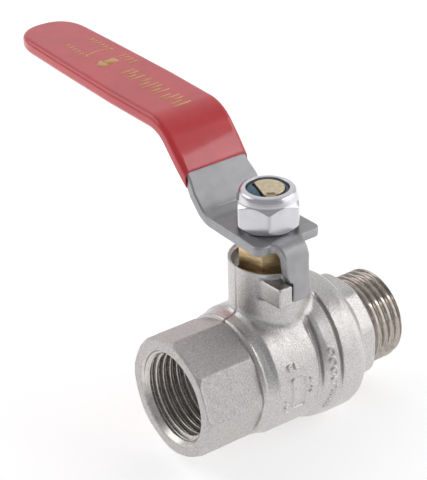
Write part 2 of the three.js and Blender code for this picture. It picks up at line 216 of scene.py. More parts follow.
def turned_ring(loop, segments):
    """A closed ring about X from a function of angle (radians) that gives [n, 2] (x, radius) points."""
    angles = np.arange(segments) * 2 * math.pi / segments
    rows = np.stack([loop(t) for t in angles])
    x, radius = rows[..., 0], rows[..., 1]
    points = np.stack([x, radius * np.cos(angles)[:, None], radius * np.sin(angles)[:, None]], -1)
    n = rows.shape[1]
    i, j = np.meshgrid(np.arange(segments), np.arange(n), indexing="ij")
    i2, j2 = (i + 1) % segments, (j + 1) % n
    quads = np.stack([i * n + j, i2 * n + j, i2 * n + j2, i * n + j2], -1)
    return points.reshape(-1, 3), quads.reshape(-1, 4)


# ---------- finishes ----------
NOISE_RANGE = (0.3, 0.7)    # most of a noise's values lie between these
COAT_ROUGHNESS = 0.07


def node_material(name):
    mat = bpy.data.materials.new(name)
    mat.use_nodes = True
    tree = mat.node_tree
    return mat, tree, tree.nodes["Principled BSDF"]


def add(tree, kind, inputs=None, **settings):
    """A shader node; an input is a value or the socket that feeds it."""
    node = tree.nodes.new(kind)
    for key, value in settings.items():
        setattr(node, key, value)
    for key, value in (inputs or {}).items():
        if isinstance(value, bpy.types.NodeSocket):
            tree.links.new(value, node.inputs[key])
        else:
            node.inputs[key].default_value = value
    return node


def noise(tree, size_mm, detail=2.0, rough=0.5, stretch=(1, 1, 1)):
    """Noise whose features are about size_mm across."""
    place = add(tree, "ShaderNodeTexCoord").outputs["Object"]
    scaled = add(tree, "ShaderNodeMapping", {"Vector": place, "Scale": stretch}).outputs["Vector"]
    settings = {"Vector": scaled, "Scale": 1 / (size_mm * MM), "Detail": detail, "Roughness": rough}
    return add(tree, "ShaderNodeTexNoise", settings).outputs["Fac"]


def spread(tree, value, low, high):
    """A noise spread over the range from low to high."""
    limits = {"Value": value, "From Min": NOISE_RANGE[0], "From Max": NOISE_RANGE[1], "To Min": low,
              "To Max": high}
    return add(tree, "ShaderNodeMapRange", limits).outputs["Result"]


def colour_ramp(tree, value, stops):
    ramp = add(tree, "ShaderNodeValToRGB", {"Fac": value})
    elements = ramp.color_ramp.elements
    while len(elements) < len(stops):
        elements.new(0.5)
    for element, (place, colour) in zip(elements, stops):
        element.position = place
        element.color = (*colour, 1)
    return ramp.outputs["Color"]


def bump(tree, layers):
    """Layers of (height socket, depth in mm) as one normal."""
    normal = None
    for height, depth in layers:
        inputs = {"Height": height, "Distance": depth * MM, "Strength": 1.0}
        if normal is not None:
            inputs["Normal"] = normal
        normal = add(tree, "ShaderNodeBump", inputs).outputs["Normal"]
    return normal


def metal(name, dark, light, rough, grain, wear_size=3.0, stretch=(1, 1, 1)):
    """A metal whose colour drifts between two tones over wear_size mm.

    rough is (low, high), and grain lists the bump's layers as (size, depth) in mm.
    """
    mat, tree, shader = node_material(name)
    drift = noise(tree, wear_size, 4.0, 0.6, stretch)
    tree.links.new(colour_ramp(tree, drift, [(0.35, dark), (0.65, light)]), shader.inputs["Base Color"])
    shader.inputs["Metallic"].default_value = 1.0
    speck = noise(tree, wear_size / 4, 3.0, 0.6, stretch)
    tree.links.new(spread(tree, speck, rough[0], rough[1]), shader.inputs["Roughness"])
    layers = [(noise(tree, size, 2.0, 0.5, stretch), depth) for size, depth in grain]
    tree.links.new(bump(tree, layers), shader.inputs["Normal"])
    return mat


def plain(name, dark, light, rough, size=2.0, depth=0.01, coat=0.0):
    """A non-metal with drifting tone, roughness and a fine bump; size and depth are in mm."""
    mat, tree, shader = node_material(name)
    drift = noise(tree, size, 3.0)
    tree.links.new(colour_ramp(tree, drift, [(0.3, dark), (0.7, light)]), shader.inputs["Base Color"])
    tree.links.new(spread(tree, noise(tree, size / 3), rough[0], rough[1]), shader.inputs["Roughness"])
    tree.links.new(bump(tree, [(noise(tree, size / 6), depth)]), shader.inputs["Normal"])
    shader.inputs["Coat Weight"].default_value = coat
    shader.inputs["Coat Roughness"].default_value = COAT_ROUGHNESS
    return mat


NICKEL_TONES = ((0.50, 0.485, 0.475), (0.71, 0.69, 0.68))
NICKEL = metal("nickel_blasted", *NICKEL_TONES, (0.29, 0.37), [(0.32, 0.06)], 0.34)
NICKEL_NUT = metal("nickel_forged", *NICKEL_TONES, (0.50, 0.58), [(0.34, 0.08)], 0.36)
NICKEL_CUT = metal("nickel_machined", (0.38, 0.34, 0.30), (0.54, 0.50, 0.46), (0.10, 0.18),
                   [(0.25, 0.004)], 2.0)
# the socket's thread has its own copy of the nickel, toned lighter than the outer nickel: painted light that
# lifts the shade inside the socket
NICKEL_SOCKET_PAINTED_LIGHT = metal("nickel_socket_painted_light", (0.58, 0.55, 0.52), (0.74, 0.71, 0.68), (0.24, 0.36),
                     [(0.25, 0.006)], 1.5)
CHROME = metal("chrome", (0.62, 0.62, 0.63), (0.70, 0.70, 0.70), (0.05, 0.12), [(0.5, 0.002)])
STEEL = metal("lever_steel", (0.39, 0.39, 0.405), (0.44, 0.44, 0.45), (0.43, 0.51),
              [(0.22, 0.010)], 3.0)
ZINC = metal("zinc_plate", (0.72, 0.71, 0.74), (0.75, 0.74, 0.77), (0.22, 0.26), [(0.5, 0.003)], 3.0)
BRASS = metal("brass_end", (0.64, 0.53, 0.36), (0.80, 0.69, 0.51), (0.34, 0.48), [(0.2, 0.012)], 1.0)
BRASS_TURNED = metal("brass_turned", (0.66, 0.46, 0.22), (0.98, 0.80, 0.50), (0.34, 0.52),
                     [(0.16, 0.010)], 0.9, (0.35, 0.35, 2.5))
PTFE = plain("ptfe", (0.78, 0.77, 0.74), (0.86, 0.85, 0.83), (0.35, 0.5))
RUBBER = plain("rubber", (0.012, 0.012, 0.013), (0.03, 0.03, 0.032), (0.5, 0.7))
NYLON = plain("blue_nylon", (0.030, 0.080, 0.130), (0.070, 0.160, 0.240), (0.25, 0.4), 0.8)
VINYL = plain("red_vinyl", (0.61, 0.022, 0.034), (0.71, 0.031, 0.045), (0.30, 0.38), 6.0, 0.006, 0.7)
GOLD_INK = plain("gold_ink", (0.72, 0.38, 0.13), (0.88, 0.52, 0.22), (0.35, 0.5), 0.7)


# ---------- valve body ----------
JOINT_X = -12.3     # where the end connector's nut meets the body
BARREL_END = 17.4
COLLAR_START = 14.4
COLLAR_APOTHEM = 12.0
COLLAR_CORNER_R = 12.1
REAR_X = 20.6       # where the wrench collar ends and the male thread starts
BODY_X = [JOINT_X, -12.05, -11.65, -11.2, -9.7, -8.6, 2.1, 3.4, 4.6, 7.5, 12.6, 13.9, 14.8, 16.4, BARREL_END]
BODY_R = [13.45, 13.85, 14.05, 14.02, 14.35, 14.8, 14.86, 15.6, 15.9, 16.2, 16.2, 15.85, 15.2, 12.8, 11.6]
BODY_HALF_WIDTH = 16.21
PASSAGE_R = 7.5
CHAMBER_R, CHAMBER_END = 12.5, 6.8
SEAT_POCKET_R, SEAT_POCKET_END = 10.8, 11.1
NECK_START = 5
NECK_R = 8.74
NECK_TOP = 25.67
CUP_R, CUP_FLOOR = 7.8, 22.2
CUP_CHAMFER_Z = 25.1
GLAND_BORE_R, GLAND_FLOOR = 6.6, 17.4
STEM_BORE_R, STEM_BORE_LOW = 4.6, 8
SHOULDER_BORE_R, SHOULDER_BORE_TOP = 5.9, 15.2
SHUT_LUG = ((-6.7, -12, 19.75), (-3.2, -2, 24.3))
OPEN_LUG = ((3, 2.8, 19.5), (12, 6.4, 24.3))
LUG_BLEND = 0.7
# each relief round the barrel: (x, top and bottom in degrees around, depth, half width)
RELIEFS = [(2.75, 58, -24, 1.0, 0.45), (7.6, 73, -26, 1.1, 0.42)]
RELIEF_FADE = 38    # degrees over which a relief runs out at its lower end

fine_x = np.arange(-14, 19, 0.05)
blur = np.exp(-np.linspace(-2.5, 2.5, 13) ** 2)
fine_r = np.convolve(np.pad(np.interp(fine_x, BODY_X, BODY_R), 6, mode="edge"), blur / blur.sum(), "valid")

# forging marks on the front: (x, degrees around, half length along x, half length around in mm, hollow)
MARK_R = 15.4
MARK_RELIEF = 0.38
MARKS = [(5.3, 23 - 8.2 * i, 0.70, 0.74, True) for i in range(4)]
for i in range(5):
    MARKS += [(5.9 - 0.25 * i, -9.5 - 4.6 * i, 0.15, 0.5, False),
              (5.1 - 0.25 * i, -11 - 4.6 * i, 0.4, 0.15, False)]
MARKS += [(-5.6, 22.5, 0.15, 0.6, False), (-5.1, 24.5, 0.5, 0.14, False), (-5.1, 20.5, 0.5, 0.14, False),
          (-3.9, 22.5, 0.15, 0.6, False), (-3.4, 20.5, 0.45, 0.14, False),
          (-7.2, -7.5, 0.14, 0.55, False), (-6.7, -9.5, 0.45, 0.14, False), (-6.9, -13, 0.5, 0.14, False),
          (-7.1, -17, 0.14, 0.5, False), (-6.6, -19, 0.45, 0.14, False),
          (-0.4, 6, 0.14, 0.5, False), (0.1, 4, 0.4, 0.14, False), (-0.1, -2.5, 0.14, 0.5, False),
          (-0.5, -5, 0.4, 0.14, False), (-3.5, -1.9, 1.75, 3.9, True)]


def box_outline(u, v, half_u, half_v, corner):
    """Distance to the outline of a flat box with rounded corners."""
    du, dv = np.abs(u) - half_u + corner, np.abs(v) - half_v + corner
    return np.hypot(np.maximum(du, 0), np.maximum(dv, 0)) + np.minimum(np.maximum(du, dv), 0) - corner


def relief_depth(x, around, centre, top, bottom, depth, half):
    """A relief that runs round the barrel, leaning a little, and fades out towards its lower end."""
    length = step_up(bottom, bottom + RELIEF_FADE, around) * step_up(top, top - 7, around)
    return depth * length * step_up(half + 0.15, half - 0.15, np.abs(x - centre - 0.012 * (around - 20)))


def mark_height(x, y, around):
    """0 to 1 where the forging marks stand on the front."""
    raised = np.zeros_like(x)
    arc = np.radians(around) * MARK_R
    for mark_x, angle, half_x, half_arc, hollow in MARKS:
        corner = min(half_x, 0.9) * 0.7
        edge = box_outline(x - mark_x, arc - math.radians(angle) * MARK_R, half_x, half_arc, corner)
        raised = np.maximum(raised, step_up(0.26, 0.04, np.abs(edge) if hollow else edge))
    return raised * (y < 0)


def barrel(x, y, z, r):
    """The turned shape of the forging with its reliefs, marks and slight waviness."""
    around = np.degrees(np.arctan2(z, np.abs(y)))
    wall = np.interp(x, fine_x, fine_r)
    for relief in RELIEFS:
        wall = wall - relief_depth(x, around, *relief)
    wall = wall + MARK_RELIEF * mark_height(x, y, around)
    wall = np.minimum(wall, BODY_HALF_WIDTH / np.maximum(np.cos(np.radians(around)), 0.5))
    wave = 0.03 * np.sin(1.1 * x + 0.7 * y) * np.sin(0.9 * z + 1.3) * np.sin(0.8 * y - 0.5 * x + 0.4)
    d = smooth_max(r - wall + wave, JOINT_X - x, 0.3)
    return smooth_max(d, x - BARREL_END, 0.2)


def wrench_collar(x, y, z, r):
    """The octagon behind the barrel, its corners turned off towards the male thread."""
    collar = prism(y, z, 8, COLLAR_APOTHEM, 22.5, 1.4)
    collar = smooth_max(collar, (r - COLLAR_CORNER_R - (REAR_X - x) * 1.5) / 1.8, 0.4)
    return smooth_max(collar, np.maximum(x - REAR_X, COLLAR_START - x), 0.3)


def stem_neck(x, y, z, rz):
    """The round neck, with a faint parting line down one side."""
    seam = 0.10 * np.exp(-(y / 0.28) ** 2) * (x < 0)
    neck = smooth_max(rz - NECK_R + seam, z - NECK_TOP, 0.12)
    return np.maximum(neck, NECK_START - z)


def flash_groove(x, y, z):
    """The trimmed flash line along the top of the barrel, between the neck and the end connector."""
    return 0.32 * np.exp(-(y / 0.22) ** 2) * step_up(-8.4, -9.2, x) * step_up(10, 12, z)


def shut_lug(x, y, z):
    """The lug stands a little askew, and its underside slopes."""
    lug = rounded_box(x + 0.05 * (y + 8), y, z, *SHUT_LUG, 0.45)
    return np.maximum(lug, 19.8 - 0.13 * (y + 12) - z)


def body_hollow(x, z, r, rz):
    """The passage with its chamber and seat pocket, and the stepped bore of the neck."""
    hollow = np.maximum(r - CHAMBER_R, x - CHAMBER_END)
    hollow = np.minimum(hollow, np.maximum(r - SEAT_POCKET_R, x - SEAT_POCKET_END))
    hollow = np.minimum(hollow, r - PASSAGE_R)
    cup = rz - CUP_R - np.maximum(z - CUP_CHAMFER_Z, 0)
    neck_hole = np.minimum(np.maximum(cup, CUP_FLOOR - z), np.maximum(rz - GLAND_BORE_R, GLAND_FLOOR - z))
    neck_hole = np.minimum(neck_hole, np.maximum(rz - STEM_BORE_R, STEM_BORE_LOW - z))
    shoulder_bore = np.maximum(rz - SHOULDER_BORE_R, np.maximum(STEM_BORE_LOW - z, z - SHOULDER_BORE_TOP))
    return np.minimum(hollow, np.minimum(neck_hole, shoulder_bore))


def body_distance(x, y, z):
    r, rz = np.hypot(y, z), np.hypot(x, y)
    d = smooth_min(barrel(x, y, z, r), wrench_collar(x, y, z, r), 0.6)
    d = smooth_min(d, stem_neck(x, y, z, rz), 1.3) + flash_groove(x, y, z)
    d = smooth_min(d, shut_lug(x, y, z), LUG_BLEND)
    d = smooth_min(d, rounded_box(x, y, z, *OPEN_LUG, 0.5), LUG_BLEND)
    return smooth_max(d, -body_hollow(x, z, r, rz), 0.12)


shape = surface_mesh(body_distance, (JOINT_X, -16.5, -16.5), (REAR_X, 16.5, NECK_TOP), 0.2)
mesh_object("body_casting", *shape, "housing", "nickel_plate", NICKEL, "valve_body")

# ---------- threads ----------
PITCH = 1.814
MAJOR_R = 10.48
MINOR_R = 9.32
MALE_ROOT_R = MINOR_R + 0.35
MALE_END = 30.68
FACE_X = -26.86
SOCKET_END = -14.5
MALE_ROOT_X, FEMALE_ROOT_X = 21.2, FACE_X + 0.4     # a root of each thread at angle 0
MALE_FACE_R, MALE_CHAMFER_SLOPE = 9.35, 1.25
SOCKET_MOUTH_R, SOCKET_CHAMFER_SLOPE = 10.95, 0.8
SOCKET_BACK_R = 11.15
THREAD_STEP = 0.09
THREAD_SEGMENTS = 220
BACK_POINTS = 8     # along the smooth side of a thread's ring


def thread_height(x, angle, start):
    """0 at the root and 1 at the crest of a right-hand thread."""
    phase = np.mod((x - start) / PITCH - angle / (2 * math.pi), 1)
    rise = np.clip((1 - np.abs(2 * phase - 1) - 0.34) / 0.58, 0, 1)
    return 0.5 * rise + 0.5 * rise * rise * (3 - 2 * rise)


def male_loop(angle):
    """Round a section of the male end: its thread, its face and the passage."""
    x = np.arange(REAR_X - 0.3, MALE_END - 0.05, THREAD_STEP)
    crest = thread_height(x, angle, MALE_ROOT_X) * step_up(20.8, 22.0, x)
    radius = MALE_ROOT_R + (MAJOR_R - MALE_ROOT_R) * crest
    radius = np.minimum(radius, MALE_FACE_R + (MALE_END - x) * MALE_CHAMFER_SLOPE)
    inner = np.linspace(MALE_END - 0.25, REAR_X - 0.3, BACK_POINTS)
    end = [(MALE_END, 9.2), (MALE_END, 7.9), (MALE_END - 0.15, 7.65)]
    return np.array([*zip(x, radius), *end, *zip(inner, np.full(BACK_POINTS, PASSAGE_R))])


def female_loop(angle):
    """Round a section of the socket's thread, which is let into the wall of the end connector."""
    x = np.arange(FACE_X + 0.12, SOCKET_END, THREAD_STEP)
    radius = MAJOR_R - (MAJOR_R - MINOR_R) * thread_height(x, angle, FEMALE_ROOT_X)
    radius = np.maximum(radius, SOCKET_MOUTH_R - (x - FACE_X) * SOCKET_CHAMFER_SLOPE)
    outer = np.linspace(FACE_X + 0.12, SOCKET_END, BACK_POINTS)
    return np.array([*zip(outer, np.full(BACK_POINTS, SOCKET_BACK_R)), *zip(x[::-1], radius[::-1])])


mesh_object("male_thread", *turned_ring(male_loop, THREAD_SEGMENTS), "housing", "nickel_plate",
            NICKEL_CUT, "valve_body")
# the socket's thread wears the lighter nickel copy, painted light against the socket's shade
mesh_object("female_thread", *turned_ring(female_loop, THREAD_SEGMENTS), "housing", "nickel_plate",
            NICKEL_SOCKET_PAINTED_LIGHT, "end_connector")

# ---------- end connector ----------
NUT_REAR = -12.05
OCTAGON_APOTHEM = 12.85
OCTAGON_CORNER = 92         # degrees from +Y
END_RING_R = 13.2           # the round face that the chamfers leave at both ends
END_RING_DEPTH = 0.3
CHAMFER_SLOPE = 0.64
SPIGOT_R, SPIGOT_START, SPIGOT_END = 12.2, -13.3, -6.2
SOCKET_R, SOCKET_FLOOR = 10.95, -14.4
POCKET_R, POCKET_START = 10.8, -11.1


def connector_distance(x, y, z):
    r = np.hypot(y, z)
    nut = prism(y, z, 8, OCTAGON_APOTHEM, OCTAGON_CORNER, 0.2)
    for depth in (x - FACE_X, NUT_REAR - x):
        nut = smooth_max(nut, (r - END_RING_R - depth * CHAMFER_SLOPE) / 1.19, 0.08)
    nut = smooth_min(nut, np.maximum(r - END_RING_R, x - FACE_X - END_RING_DEPTH), 0.7)
    nut = smooth_max(nut, np.maximum(FACE_X + 0.02 - x, x - NUT_REAR), 0.1)
    nut = nut + 0.02 * np.sin(1.3 * x + 0.9 * y) * np.sin(1.1 * z + 0.4 * x)
    d = np.minimum(nut, np.maximum(r - SPIGOT_R, np.maximum(SPIGOT_START - x, x - SPIGOT_END)))
    socket, pocket = np.maximum(r - SOCKET_R, x - SOCKET_FLOOR), np.maximum(r - POCKET_R, POCKET_START - x)
    return smooth_max(d, -np.minimum(np.minimum(socket, pocket), r - PASSAGE_R), 0.1)


shape = surface_mesh(connector_distance, (FACE_X, -14.3, -14.3), (SPIGOT_END, 14.3, 14.3), 0.22)
mesh_object("end_nut", *shape, "housing", "nickel_plate", NICKEL_NUT, "end_connector")

# ---------- ball ----------
BALL_R = 12
BALL_BORE_R = 7.25
SLOT_HALF_WIDTH, SLOT_FLOOR = 2.1, 8.7


def ball_distance(x, y, z):
    d = np.sqrt(x * x + y * y + z * z) - BALL_R
    d = smooth_max(d, BALL_BORE_R - np.hypot(x, z), 0.4)
    return smooth_max(d, -np.maximum(np.abs(y) - SLOT_HALF_WIDTH, SLOT_FLOOR - z), 0.3)


shape = surface_mesh(ball_distance, (-BALL_R,) * 3, (BALL_R,) * 3, 0.4)
mesh_object("ball_polished", *shape, "ball", "ball_chrome", CHROME, "ball")

# ---------- stem, gland nut, lock nut ----------
STEM_TOP = 41.9
STEM_R, STEM_THREAD_R, STEM_THREAD_Z = 4.3, 3.8, 30.2
STEM_PITCH = 1.25
RING_GROOVE_Z, RING_GROOVE_HALF, RING_GROOVE_R = 16.35, 0.65, 3.3
SHOULDER_R, SHOULDER_LOW, SHOULDER_TOP = 5.6, 12.4, 14.1
TANG = ((-4, -1.8, 9), (4, 1.8, 13))
FLAT_DEPTH = 1.95           # from the axis to the milled flat
FLAT_LOW = 30.6
NOTCH = ((-0.4, 2.8, STEM_TOP - 0.45), (1.5, 4.6, STEM_TOP + 1))


def beyond_flat(x, y):
    """How far a point lies from the axis towards the stem's milled flat."""
    return 0.309 * y - 0.951 * x


def stem_distance(x, y, z):
    r = np.hypot(x, y)
    turns = 0.10 * (1 - np.abs(2 * np.mod(z / STEM_PITCH - np.arctan2(y, x) / (2 * math.pi), 1) - 1))
    turns = turns * step_up(32.6, 33.2, z)
    shaft = np.where(z > STEM_THREAD_Z, STEM_THREAD_R - turns, STEM_R)
    d = smooth_max(r - shaft, z - STEM_TOP, 0.25)
    d = smooth_max(d, (r - 3.55 - (STEM_TOP - z) * 0.9) / 1.35, 0.12)
    d = np.maximum(d, SHOULDER_LOW - z)
    groove_side = np.abs(z - RING_GROOVE_Z) - RING_GROOVE_HALF
    d = np.maximum(d, -np.maximum(groove_side, RING_GROOVE_R - r))
    d = np.minimum(d, smooth_max(r - SHOULDER_R, np.maximum(SHOULDER_LOW - z, z - SHOULDER_TOP), 0.2))
    d = smooth_min(d, rounded_box(x, y, z, *TANG, 0.3), 0.2)
    d = smooth_max(d, np.minimum(beyond_flat(x, y) - FLAT_DEPTH, z - FLAT_LOW), 0.12)
    across, outward = 0.808 * x - 0.589 * y, -0.589 * x - 0.808 * y
    return smooth_max(d, -rounded_box(across, outward, z, *NOTCH, 0.12), 0.1)


GLAND_LOW, GLAND_HEX_LOW, GLAND_TOP = 20.1, 22.5, 30.5
GLAND_APOTHEM, GLAND_CORNER = 5.7, 39.2
GLAND_SKIRT_R, GLAND_HOLE_R = 6.3, 4.6


def gland_distance(x, y, z):
    r = np.hypot(x, y)
    hexagon = prism(x, y, 6, GLAND_APOTHEM, GLAND_CORNER, 0.2)
    hexagon = smooth_max(hexagon, (r - 5.9 - (GLAND_TOP - z) * 1.6) / 1.9, 0.15)
    tool_rings = 0.012 * np.sin(z * 2 * math.pi / 0.36 + 0.8 * np.sin(z * 3.1))
    hexagon = smooth_max(hexagon + tool_rings, np.maximum(GLAND_HEX_LOW - z, z - GLAND_TOP), 0.2)
    skirt = smooth_max(r - GLAND_SKIRT_R, np.maximum(GLAND_LOW - z, z - 23), 0.2)
    return smooth_max(np.minimum(hexagon, skirt), GLAND_HOLE_R - r, 0.15)


NUT_LOW = 33.25
NUT_SEAT = 33.45
NUT_SEAT_R = 6.15
NUT_APOTHEM, NUT_CORNER = 6.5, 54.2
NUT_SHOULDER = 39.46        # height at which the top chamfer reaches the middle of a flat
NUT_HOLE_R, NUT_LIP_R = 4.1, 4.65
NUT_RING_R, NUT_RING_LOW, NUT_RING_TOP = 5.4, 38.6, 40.9
NUT_DOME = [(0, 38), (6.45, 38), (6.48, 39.5), (6.37, 40.2), (6.25, 40.75), (6.14, 41.1), (6.02, 41.38),
            (5.88, 41.56), (5.68, 41.71), (5.4, 41.82), (5.0, 41.88), (0, 41.88)]


def nut_distance(x, y, z):
    r = np.hypot(x, y)
    hexagon = prism(x, y, 6, NUT_APOTHEM, NUT_CORNER, 0.45)
    hexagon = smooth_max(hexagon, (r - NUT_APOTHEM - (NUT_SHOULDER - z) * 1.1) / 1.487, 0.1)
    sixth = math.pi / 3
    past_flat = np.mod(np.arctan2(y, x) - math.radians(NUT_CORNER), sixth) - sixth / 2
    hex_bottom = NUT_SEAT + NUT_APOTHEM / np.cos(past_flat) - NUT_APOTHEM
    hexagon = smooth_max(hexagon, np.maximum((hex_bottom - z) * 0.8, z - 39.6), 0.12)
    d = smooth_min(hexagon, polygon(r, z, NUT_DOME), 0.25)
    d = np.minimum(d, np.maximum(r - NUT_SEAT_R, np.maximum(NUT_LOW - z, z - 35)))
    ring_space = np.maximum(r - NUT_RING_R, np.maximum(NUT_RING_LOW - z, z - NUT_RING_TOP))
    hole = np.minimum(np.minimum(r - NUT_HOLE_R, ring_space), np.maximum(r - NUT_LIP_R, NUT_RING_LOW - z))
    return smooth_max(d, -hole, 0.16)


NYLON_R, NYLON_LOW, NYLON_TOP = 4.6, 38.9, 41.4
NYLON_HOLE_R, NYLON_SWELL = 3.92, 2.5


def nylon_distance(x, y, z):
    """The ring grips the thread and swells into the space beside the stem's flat."""
    r = np.hypot(x, y)
    ring = smooth_max(r - NYLON_R, np.maximum(z - NYLON_TOP + 0.3 * (r - 3.9), NYLON_LOW - z), 0.15)
    return smooth_max(ring, -np.maximum(r - NYLON_HOLE_R, beyond_flat(x, y) - NYLON_SWELL), 0.12)


def upright_piece(name, distance, reach, low, high, step, *names):
    """A piece round the stem's axis, no further from it than reach."""
    shape = surface_mesh(distance, (-reach, -reach, low), (reach, reach, high), step)
    mesh_object(name, *shape, *names)


upright_piece("stem_turned", stem_distance, SHOULDER_R, 9, STEM_TOP, 0.16,
              "lever_assembly", "brass_bare", BRASS, "stem")
upright_piece("gland_hex", gland_distance, 6.6, GLAND_LOW, GLAND_TOP, 0.15,
              "housing", "brass_turned", BRASS_TURNED, "gland_nut")
upright_piece("nut_domed", nut_distance, 7.6, NUT_LOW, 41.9, 0.12,
              "lever_assembly", "zinc_plate", ZINC, "lock_nut")
upright_piece("nylon_ring", nylon_distance, NYLON_R, NYLON_LOW, NYLON_TOP, 0.14,
              "lever_assembly", "blue_nylon", NYLON, "lock_nut_insert")

# ---------- lever ----------
# The plate is shaped flat, at u along the strip, w across it and t above its middle, and then bent.
RISE = math.radians(46.5)
GRIP = math.radians(1.2)
HALF_STEEL = 1.1
LEVER_TIP = 89.0
TONGUE_LENGTH = 10.2
TONGUE_Y, TONGUE_Z = -10.3, 19.6        # the tongue's lower end
TONGUE_BEND = 2.3 * math.pi / 2
HEAD_START = -8
# each run of the strip from the tongue to the tip of the grip: (length, turn in radians)
RUNS = [(TONGUE_LENGTH, 0.0), (TONGUE_BEND, -math.pi / 2), (16.9, 0.0), (6 * RISE, RISE), (16.3, 0.0),
        (9 * (RISE - GRIP), GRIP - RISE), (60.0, 0.0)]
U_START = HEAD_START - TONGUE_BEND - TONGUE_LENGTH

run_table = []
u0, y0, z0, heading = U_START, TONGUE_Y, TONGUE_Z, math.pi / 2
for length, turn in RUNS:
    bend = turn / length
    run_table.append((u0, y0, z0, heading, bend))
    if turn:
        y0 += (math.sin(heading + turn) - math.sin(heading)) / bend
        z0 -= (math.cos(heading + turn) - math.cos(heading)) / bend
    else:
        y0 += length * math.cos(heading)
        z0 += length * math.sin(heading)
    heading += turn
    u0 += length
run_table = np.array(run_table)


def follow(u, t):
    """(y, z) of a point a distance u along the strip and t above its middle."""
    i = np.clip(np.searchsorted(run_table[:, 0], u, side="right") - 1, 0, len(run_table) - 1)
    start, y, z, angle, bend = (run_table[i, v] for v in range(5))
    s = u - start
    end = angle + bend * s
    safe = np.where(bend == 0, 1, bend)
    dy = np.where(bend == 0, s * np.cos(angle), (np.sin(end) - np.sin(angle)) / safe)
    dz = np.where(bend == 0, s * np.sin(angle), -(np.cos(end) - np.cos(angle)) / safe)
    return y + dy - t * np.sin(end), z + dz + t * np.cos(end)


table_u = np.linspace(HEAD_START, 110, 2400)
table_y = follow(table_u, np.zeros_like(table_u))[0]


def along(y):
    """The distance along the strip at which its middle reaches y."""
    return float(np.interp(y, table_y, table_u))


SLEEVE_START = 17.8
GRIP_WIDTHS = [(SLEEVE_START, 17.4), (32, 17.5), (46, 17.9), (58, 17.5), (70, 17), (80, 16.4)]


def grip_side(inset):
    """The outline from the +X side of the grip round its tip to the -X side, as (u, x)."""
    side = [(along(y), w / 2 - inset) for y, w in GRIP_WIDTHS]
    tip, half = LEVER_TIP - inset, GRIP_WIDTHS[-1][1] / 2 - inset
    p = np.array([(GRIP_WIDTHS[-1][0], half), (tip - 2.6, half - 0.2), (tip, half * 0.6), (tip, 0)])
    curve = []
    for t in np.linspace(0, 1, 12)[1:]:
        b = ((1 - t) ** 3, 3 * t * (1 - t) ** 2, 3 * t * t * (1 - t), t ** 3)
        y, w = sum(c * q for c, q in zip(b, p))
        curve.append((along(y), w))
    full = side + curve
    return full + [(u, -w) for u, w in full[-2::-1]]


def sheet_distance(u, w, t, outline, half, edge):
    """Distance to a flat sheet of a given outline and half thickness, its edges rounded."""
    flat = polygon(u, w, outline) + edge
    thick = np.abs(t) - half + edge
    outside = np.hypot(np.maximum(flat, 0), np.maximum(thick, 0))
    return outside + np.minimum(np.maximum(flat, thick), 0) - edge


LEVER_OUTLINE = np.array(
    [(along(15.6), 8.5)] + grip_side(0.75) + [(along(15.6), -8.5), (8.5, -8.5), (0, -8.75), (-5, -8.95)]
    + list(cut_corners([(-5, -8.95, 0), (-8.1, -9.35, 3.2), (-8.1, -6.4, 0)], 9)[1:])
    + list(cut_corners([(-8.1, -5.7, 0), (-8.4, -4.75, 0.9), (-11.6, -4.3, 0)], 7))
    + [(-13.6, -4.1), (-15.4, -3.75)]
    + list(cut_corners([(-16.9, -3.05, 0), (-17.1, -2.3, 0.3), (-21.81, -2.3, 0.5), (-21.81, 1.9, 1.2),
                        (-13, 1.9, 0)]))
    + list(cut_corners([(-13, 1.9, 0), (-8.3, 2.0, 1.1), (-8.1, 3.4, 0)], 7)[1:])
    + list(cut_corners([(-8.1, 5.9, 0), (-8.1, 7.9, 1.9), (-6, 7.9, 0)], 9))
    + [(-1, 7.8), (8.5, 8.5)])
HOLE_R = 4.1
HOLE_FLAT = -2.7        # the flat side of the hole for the stem
CREASE_U, CREASE_DEPTH = 12.2, 0.2
SLEEVE_OUTLINE = np.array([(10, 8.7)] + grip_side(0.04) + [(10, -8.7)])
SLEEVE_INSIDE = np.array([(9, 8.1)] + grip_side(0.6) + [(9, -8.1)])
SLEEVE_HALF, SLEEVE_HOLLOW_HALF = 1.72, 1.24
MOUTH_THINNING, MOUTH_LENGTH = 0.24, 4.8


def lever_flat(u, w, t):
    d = sheet_distance(u, w, t, LEVER_OUTLINE, HALF_STEEL, 0.35)
    crease = CREASE_DEPTH * np.exp(-((u - CREASE_U) / 0.2) ** 2) * step_up(7.6, 6.2, np.abs(w)) * (t > 0)
    hole = np.maximum(np.hypot(u, w) - HOLE_R, HOLE_FLAT - w)
    return smooth_max(d + crease, -hole, 0.2)


def sleeve_flat(u, w, t):
    """The vinyl thins out towards the sleeve's mouth."""
    y = follow(u, t)[0]
    taper = MOUTH_THINNING * np.clip((SLEEVE_START + MOUTH_LENGTH - y) / MOUTH_LENGTH, 0, 1) ** 2
    outer = sheet_distance(u, w, t, SLEEVE_OUTLINE, SLEEVE_HALF, 1.2) + taper
    outer = smooth_max(outer, SLEEVE_START - y, 0.2)
    inner = sheet_distance(u, w, t, SLEEVE_INSIDE, SLEEVE_HOLLOW_HALF, 0.95)
    return smooth_max(outer, -inner, 0.12)


def bent(points):
    """Points (u, w, t) of the flat plate, bent to (x, y, z)."""
    y, z = follow(points[:, 0], points[:, 2])
    return np.stack([points[:, 1], y, z], 1)


def bent_piece(name, distance, low, high, step, *names):
    points, quads = surface_mesh(distance, low, high, step)
    mesh_object(name, bent(points), quads[:, ::-1], "lever_assembly", *names)


